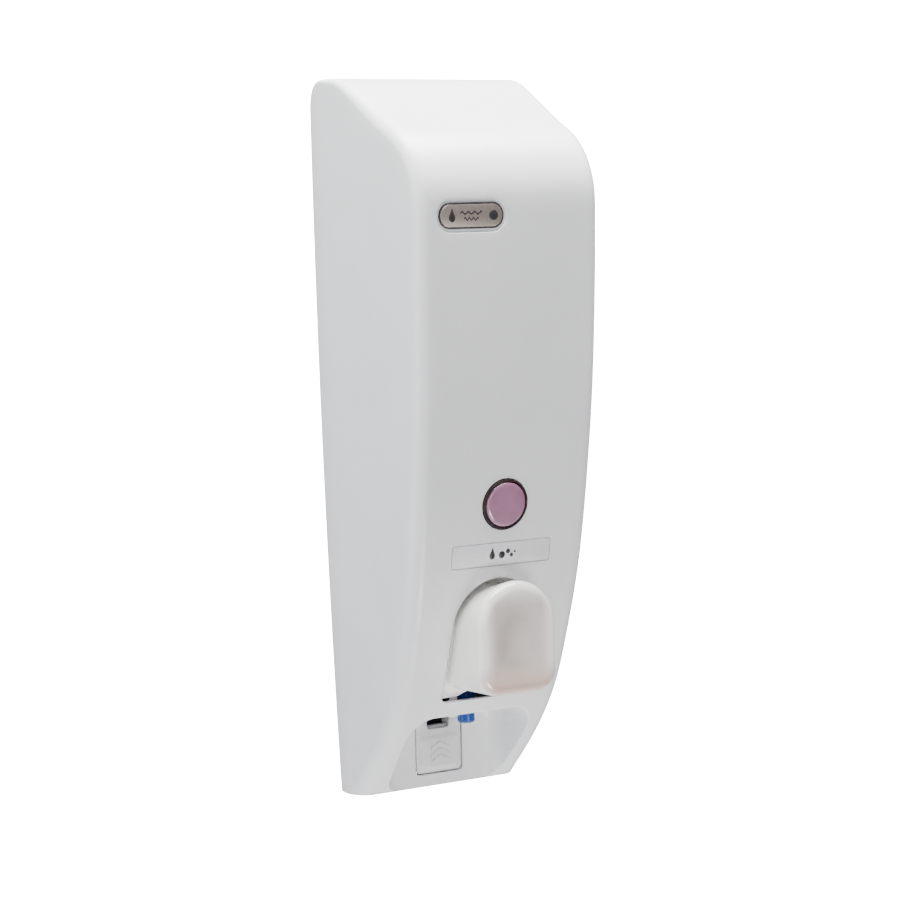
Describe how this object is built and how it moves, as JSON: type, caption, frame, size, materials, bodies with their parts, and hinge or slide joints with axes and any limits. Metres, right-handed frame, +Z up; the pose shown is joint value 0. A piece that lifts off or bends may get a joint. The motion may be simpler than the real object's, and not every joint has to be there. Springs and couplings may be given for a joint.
{
  "type": "wall-mounted push-lever soap dispenser",
  "caption": "Tall tapering white wall dispenser: hinged cover with round window, domed push lever, open hand recess below the nozzle.",
  "frame": {"origin": "on the wall plane, at the middle of the width and half of the height", "axes": "+X to the right seen from the front, -Y out of the wall towards the user, +Z up"},
  "size_m": [0.0864, 0.08, 0.284],
  "materials": {
    "cover_white": "satin white",
    "lever_cream": "gloss cream white",
    "button_white": "satin white",
    "inner_plastic": "matte pale grey",
    "tank_clear": "translucent",
    "pump_blue": "gloss blue",
    "silicone": "translucent matte",
    "rubber_dark": "matte dark",
    "lens_pink": "clear gloss",
    "badge_metal": "champagne satin",
    "label_film": "satin",
    "pin_steel": "bright",
    "foam_grey": "matte foam"
  },
  "bodies": {
    "wall_side": {"back_plate": "inner_plastic", "tape_pad_lower": "foam_grey", "tape_pad_upper": "foam_grey", "reservoir": "tank_clear", "reservoir_lid": "inner_plastic", "lid_seal": "silicone", "neck_seal": "rubber_dark", "collar_nut": "inner_plastic", "pump_body": "pump_blue", "inlet_valve": "silicone", "outlet_valve": "silicone", "nozzle": "pump_blue", "pump_bellows": "silicone", "bellows_ring": "inner_plastic", "bellows_spring": "pin_steel"},
    "cover": {"front_cover": "cover_white", "badge_plate": "badge_metal", "label_plate": "label_film", "window_seal": "rubber_dark", "window_lens": "lens_pink", "hinge_pin_left": "pin_steel", "hinge_pin_right": "pin_steel", "lever_pin": "pin_steel"},
    "lever": {"push_lever": "lever_cream"},
    "button": {"release_button": "button_white"},
    "plunger": {"pump_plunger": "pump_blue"}
  },
  "joints": [
    {"name": "cover_hinge", "type": "hinge", "parent": "wall_side", "child": "cover", "pos_m": [0, -0.0095, 0.1325], "axis": [-1, 0, 0], "range_deg": [0, 90]},
    {"name": "lever_pivot", "type": "hinge", "parent": "cover", "child": "lever", "pos_m": [0, -0.058, -0.049], "axis": [1, 0, 0], "range_deg": [0, 11], "stiffness_Nm_per_rad": 0.8, "springref_deg": -2.86},
    {"name": "button_hinge", "type": "hinge", "parent": "cover", "child": "button", "pos_m": [0, -0.011, -0.117], "axis": [1, 0, 0], "range_deg": [0, 8], "stiffness_Nm_per_rad": 0.4, "springref_deg": -2.86},
    {"name": "plunger_slide", "type": "slide", "parent": "wall_side", "child": "plunger", "axis": [0, 1, 0], "range_m": [0, 0.0065], "stiffness_N_per_m": 5, "springref_m": -0.003, "deforming": ["pump_bellows", "bellows_spring"]}
  ],
  "couplings": [
    {"joint": "plunger_slide", "follows": "lever_pivot", "m_per_rad": 0.0336}
  ]
}
